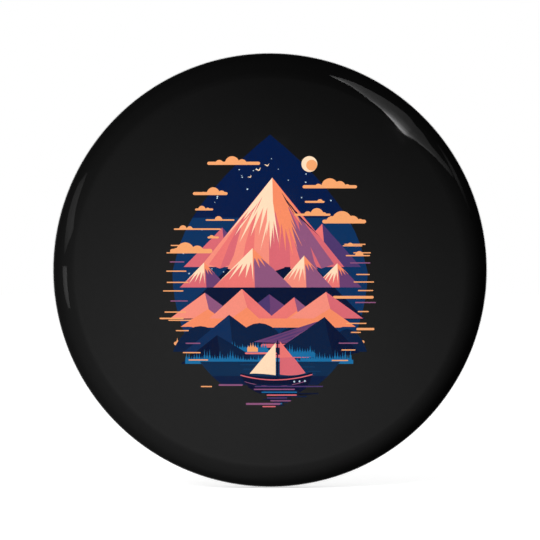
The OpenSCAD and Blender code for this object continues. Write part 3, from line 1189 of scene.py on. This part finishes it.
def towards(azimuth, polar):
    """Direction as seen from the face: degrees off its axis, and degrees from +X to +Z."""
    a, p = radians(azimuth), radians(polar)
    return Vector((sin(p) * cos(a), -cos(p), sin(p) * sin(a)))


def face_slope(radius):
    """Slope of the face at a radius, in degrees."""
    out = (radius - SHOULDER_AT[0]) / SHOULDER_W
    if out <= sin(BEND_START):
        return degrees(asin(radius / DOME_R))
    return degrees(atan(SHOULDER_H / SHOULDER_W * tan(asin(out))))


def mirrored(azimuth, radius):
    """Point that the camera sees mirrored in the face, at one azimuth and radius of it."""
    on_face = worn(radius, radians(azimuth), SHOULDER_TOP)
    view = (on_face - bpy.context.scene.camera.location).normalized()
    return on_face + view.reflect(towards(azimuth, face_slope(radius))) * CARD_DISTANCE


def glow(name, bm):
    """Object that shows only in reflections, with the light of its vertices."""
    obj = mesh_object(name, bm)
    mat, n, p = new_material(name)
    strength = n.add("Attribute")
    strength.attribute_name = "light"
    n.fill(p, Base_Color=(0, 0, 0, 1), Emission_Color=(1, 1, 1, 1))
    n.fill(p, Emission_Strength=strength.outputs["Fac"])
    mat.cycles.emission_sampling = "NONE"
    obj.data.materials.append(mat)
    obj.visible_camera = False
    obj.visible_diffuse = False
    obj.visible_shadow = False


def card(name, rows):
    """Light card on the face's side. Each row is an azimuth, the inner and outer radius at which
    the card is to be seen in the face, and its light at the inner edge and beyond it."""
    bm = bmesh.new()
    light = bm.verts.layers.float.new("light")
    edge_fall = 7  # how fast the light drops from the inner edge
    rings = []
    for azimuth, inner, outer, edge_light, body_light in rows:
        ring = []
        for share in (0, 0.07, 0.16, 0.3, 0.6, 1):
            vert = bm.verts.new(mirrored(azimuth, inner + (outer - inner) * share))
            fall = (1 - share) ** edge_fall
            vert[light] = edge_light * fall + body_light * (1 - fall) * (1.25 - 0.5 * share)
            ring.append(vert)
        rings.append(ring)
    for ring_a, ring_b in zip(rings, rings[1:]):
        for i in range(len(ring_a) - 1):
            bm.faces.new((ring_a[i], ring_a[i + 1], ring_b[i + 1], ring_b[i]))
    glow(name, bm)


def card_behind():
    """Round light card behind the badge, brighter at its top, for the bright metal of its back."""
    bm = bmesh.new()
    light = bm.verts.layers.float.new("light")
    away, radius, middle_light, rise = 1.4, 0.56, 0.85, 0.5
    place = Matrix.Translation((0, away, 0)) @ Matrix.Rotation(pi / 2, 4, "X")
    bmesh.ops.create_circle(bm, cap_ends=True, radius=radius, segments=24, matrix=place)
    for vert in bm.verts:
        vert[light] = middle_light + rise * vert.co.z
    glow("card_behind", bm)


def softbox(name, azimuth, polar, size, energy):
    """Square soft light aimed at the badge."""
    data = bpy.data.lights.new(name, "AREA")
    data.size = size
    data.energy = energy
    light = add_object(name, data)
    light.location = towards(azimuth, polar) * SOFTBOX_DISTANCE
    light.rotation_euler = (-light.location).to_track_quat("-Z", "Y").to_euler()
    return light


def add_world():
    """Plain white for the camera, an even fill for matt surfaces, and for reflections a studio
    that is brighter low and to the left of the badge, falls off towards its sides and is dark low
    on the right."""
    world = bpy.data.worlds.new("studio")
    bpy.context.scene.world = world
    world.use_nodes = True
    tree = world.node_tree
    for node in list(tree.nodes):
        if node.type == "BACKGROUND":
            tree.nodes.remove(node)
    n = Nodes(tree)
    direction = n.add("TexCoord").outputs["Generated"]
    # across the face, held to the size that it has where the dome ends
    edge, middle, slope = 0.25, 0.335, (-0.40, 0, -0.97)
    across = n.vector("MULTIPLY", direction, (1, 0, 1))
    held = n.math("MAXIMUM", n.vector("LENGTH", across), edge)
    across = n.scaled(across, n.math("DIVIDE", edge, held))
    level = n.math("ADD", middle, n.vector("DOT_PRODUCT", across, slope))
    dark_side = (0.66, 0.42, -0.27)
    dark = n.math("MAXIMUM", 0, n.vector("DOT_PRODUCT", direction, dark_side))
    level = n.math("MULTIPLY", level, n.math("SUBTRACT", 1, dark))
    # from the face's side, 0, to the back, 1
    turn = n.math("MULTIPLY_ADD", n.vector("DOT_PRODUCT", direction, (0, 1, 0)), 0.5, 0.5)
    ramp = n.add("ValToRGB", Fac=turn)
    elements = ramp.color_ramp.elements
    for element in elements:
        element.color = (1, 1, 1, 1)
    stops = ((0.0045, 1), (0.0056, 0.95), (0.0106, 0.8), (0.03, 0.76), (0.06, 0.6), (0.097, 0.52))
    stops += ((0.206, 0.46), (0.37, 0.36), (0.54, 0.23), (0.80, 0.09), (0.95, 0.2))
    for at, value in stops:
        elements.new(at).color = (value, value, value, 1)
    tent, fill, white = (
        n.add("Background", Color=(1, 1, 1, 1), Strength=strength).outputs[0]
        for strength in (n.math("MULTIPLY", level, ramp.outputs[0]), FILL, 1.0)
    )
    rays = n.add("LightPath").outputs
    inside = n.mix(rays["Is Glossy Ray"], fill, tent)
    seen = n.mix(rays["Is Camera Ray"], inside, white)
    n.fill(tree.nodes["World Output"], Surface=seen)


add_camera()
add_floor()
add_world()
softbox("key", 120, 42, 0.7, 11).visible_glossy = False
for name, azimuth, polar, size, energy in (
    ("back_high", 90, 130, 1.1, 4.6),
    ("back_left", 180, 138, 0.9, 1.9),
    ("back_right", 0, 138, 0.9, 1.6),
    ("back_low", 270, 140, 1.2, 2.4),
):
    light = softbox(name, azimuth, polar, size, energy)
    light.light_linking.receiver_collection = metal
card_behind()
for name, rows in {
    "card_window": (
        (73, 26.98, 27.03, 1.0, 0.8), (70, 26.78, 27.15, 4.0, 1.1), (66, 26.6, 27.28, 2.2, 0.8),
        (61, 26.2, 27.3, 1.8, 0.66), (55, 25.88, 27.42, 2.8, 0.54), (52, 25.68, 27.46, 6.8, 0.52),
        (48, 25.39, 27.53, 10.5, 0.45), (46, 25.34, 27.33, 9.0, 0.48),
        (44.5, 25.49, 27.23, 2.8, 0.42), (42, 25.78, 27.25, 1.2, 0.38),
        (38, 26.15, 26.98, 1.1, 0.42), (34, 26.52, 27.13, 0.6, 0.33), (30, 26.9, 27.33, 0.45, 0.3),
        (27, 27.18, 27.48, 0.15, 0.1),
    ),
    "card_streak": (
        (37, 27.77, 27.92, 0.03, 0.03), (30, 27.55, 27.87, 0.22, 0.2),
        (26, 27.43, 27.82, 0.26, 0.22), (22, 27.48, 27.78, 0.12, 0.1), (14, 27.53, 27.73, 0.0, 0.0),
    ),
    "card_left_high": (
        (152, 27.45, 27.6, 0.25, 0.25), (156, 27.25, 27.92, 0.42, 0.42),
        (160, 27.12, 27.92, 0.45, 0.45), (164, 26.93, 27.82, 0.55, 0.5),
        (168, 26.62, 27.67, 0.48, 0.55), (170, 26.72, 27.58, 0.5, 0.5),
        (172, 26.97, 27.53, 0.45, 0.45), (175.5, 27.3, 27.42, 0.3, 0.3),
    ),
    "card_left_low": (
        (179, 26.95, 27.53, 0.9, 0.9), (185, 26.95, 27.5, 0.95, 0.92),
        (188, 26.95, 27.43, 0.85, 0.85), (190.7, 26.97, 27.25, 0.8, 0.8),
    ),
}.items():
    card(name, rows)

bpy.context.scene.view_settings.view_transform = "Standard"
